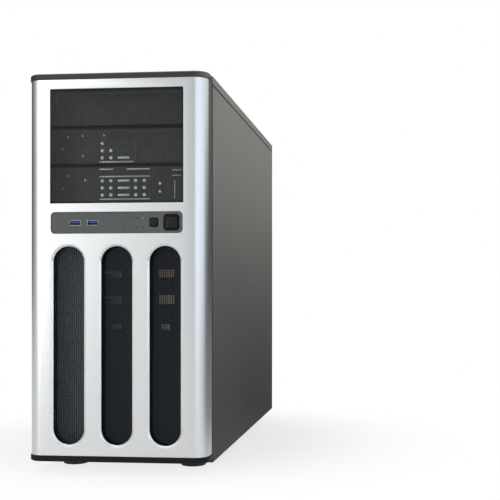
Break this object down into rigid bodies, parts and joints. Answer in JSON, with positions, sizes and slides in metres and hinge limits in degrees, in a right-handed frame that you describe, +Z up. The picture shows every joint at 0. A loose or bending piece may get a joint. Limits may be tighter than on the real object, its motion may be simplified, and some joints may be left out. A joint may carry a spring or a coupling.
{
  "type": "tower server case",
  "caption": "Upright computer case with a silver vented front, mesh drive bay covers, sliding steel side panels and a perforated rear wall with latched expansion slots.",
  "frame": {"origin": "centre of the overall box at floor level, under the feet", "axes": "+Z up, -Y towards the front bezel, +X to the viewer's right from the front"},
  "size_m": [0.208, 0.53, 0.4519],
  "materials": {
    "silver": "silver paint",
    "dark_plastic": "satin",
    "black_gloss": "gloss",
    "black_mesh": "satin",
    "dark_paint": "satin powder coat",
    "blue_plastic": "satin",
    "rubber": "matte",
    "lamp": "clear lens",
    "circuit_board": "solder mask",
    "bright_steel": "plated",
    "zinc": "zinc plated"
  },
  "bodies": {
    "chassis": {"base_bar": "dark_plastic", "bay_cover_bottom": "black_mesh", "bay_cover_middle": "black_mesh", "bay_cover_top": "black_mesh", "bezel_bottom_cap": "dark_plastic", "bezel_top_cap": "dark_plastic", "bottom_pan": "zinc", "button_switches": "black_gloss", "control_strip": "dark_plastic", "drive_cage": "zinc", "feet": "rubber", "front_bezel": "silver", "front_io_board": "circuit_board", "front_wall": "zinc", "hdd_cage": "zinc", "indicator_lamps": "lamp", "intake_grille": "black_mesh", "latch_lugs": "zinc", "latch_rod": "bright_steel", "motherboard_tray": "zinc", "panel_brackets": "zinc", "rear_panel": "zinc", "slot_cover_1": "zinc", "slot_cover_2": "zinc", "slot_cover_3": "zinc", "slot_cover_4": "zinc", "slot_cover_5": "zinc", "slot_cover_6": "zinc", "slot_cover_7": "zinc", "slot_frame": "zinc", "top_cover": "dark_paint", "usb_shells": "bright_steel", "usb_tongues": "blue_plastic"},
    "left_panel": {"left_side_panel": "dark_paint", "left_thumbscrews": "bright_steel"},
    "right_panel": {"right_side_panel": "dark_paint", "right_thumbscrews": "bright_steel"},
    "power_key": {"power_button": "black_gloss"},
    "locator_key": {"locator_button": "black_gloss"},
    "latch_1": {"slot_latch_1": "blue_plastic"},
    "latch_2": {"slot_latch_2": "blue_plastic"},
    "latch_3": {"slot_latch_3": "blue_plastic"},
    "latch_4": {"slot_latch_4": "blue_plastic"},
    "latch_5": {"slot_latch_5": "blue_plastic"},
    "latch_6": {"slot_latch_6": "blue_plastic"},
    "latch_7": {"slot_latch_7": "blue_plastic"}
  },
  "joints": [
    {"name": "left_panel_slide", "type": "slide", "parent": "chassis", "child": "left_panel", "axis": [0, 1, 0], "range_m": [0, 0.016]},
    {"name": "right_panel_slide", "type": "slide", "parent": "chassis", "child": "right_panel", "axis": [0, 1, 0], "range_m": [0, 0.016]},
    {"name": "power_press", "type": "slide", "parent": "chassis", "child": "power_key", "axis": [0, 1, 0], "range_m": [0, 0.0015], "stiffness_N_per_m": 600},
    {"name": "locator_press", "type": "slide", "parent": "chassis", "child": "locator_key", "axis": [0, 1, 0], "range_m": [0, 0.001], "stiffness_N_per_m": 600},
    {"name": "latch_swing_1", "type": "hinge", "parent": "chassis", "child": "latch_1", "pos_m": [-0.0628, 0.2525, 0.0438], "axis": [0, 0, -1], "range_deg": [0, 50]},
    {"name": "latch_swing_2", "type": "hinge", "parent": "chassis", "child": "latch_2", "pos_m": [-0.0628, 0.2525, 0.06412], "axis": [0, 0, -1], "range_deg": [0, 50]},
    {"name": "latch_swing_3", "type": "hinge", "parent": "chassis", "child": "latch_3", "pos_m": [-0.0628, 0.2525, 0.08444], "axis": [0, 0, -1], "range_deg": [0, 50]},
    {"name": "latch_swing_4", "type": "hinge", "parent": "chassis", "child": "latch_4", "pos_m": [-0.0628, 0.2525, 0.10476], "axis": [0, 0, -1], "range_deg": [0, 50]},
    {"name": "latch_swing_5", "type": "hinge", "parent": "chassis", "child": "latch_5", "pos_m": [-0.0628, 0.2525, 0.12508], "axis": [0, 0, -1], "range_deg": [0, 50]},
    {"name": "latch_swing_6", "type": "hinge", "parent": "chassis", "child": "latch_6", "pos_m": [-0.0628, 0.2525, 0.1454], "axis": [0, 0, -1], "range_deg": [0, 50]},
    {"name": "latch_swing_7", "type": "hinge", "parent": "chassis", "child": "latch_7", "pos_m": [-0.0628, 0.2525, 0.16572], "axis": [0, 0, -1], "range_deg": [0, 50]}
  ]
}
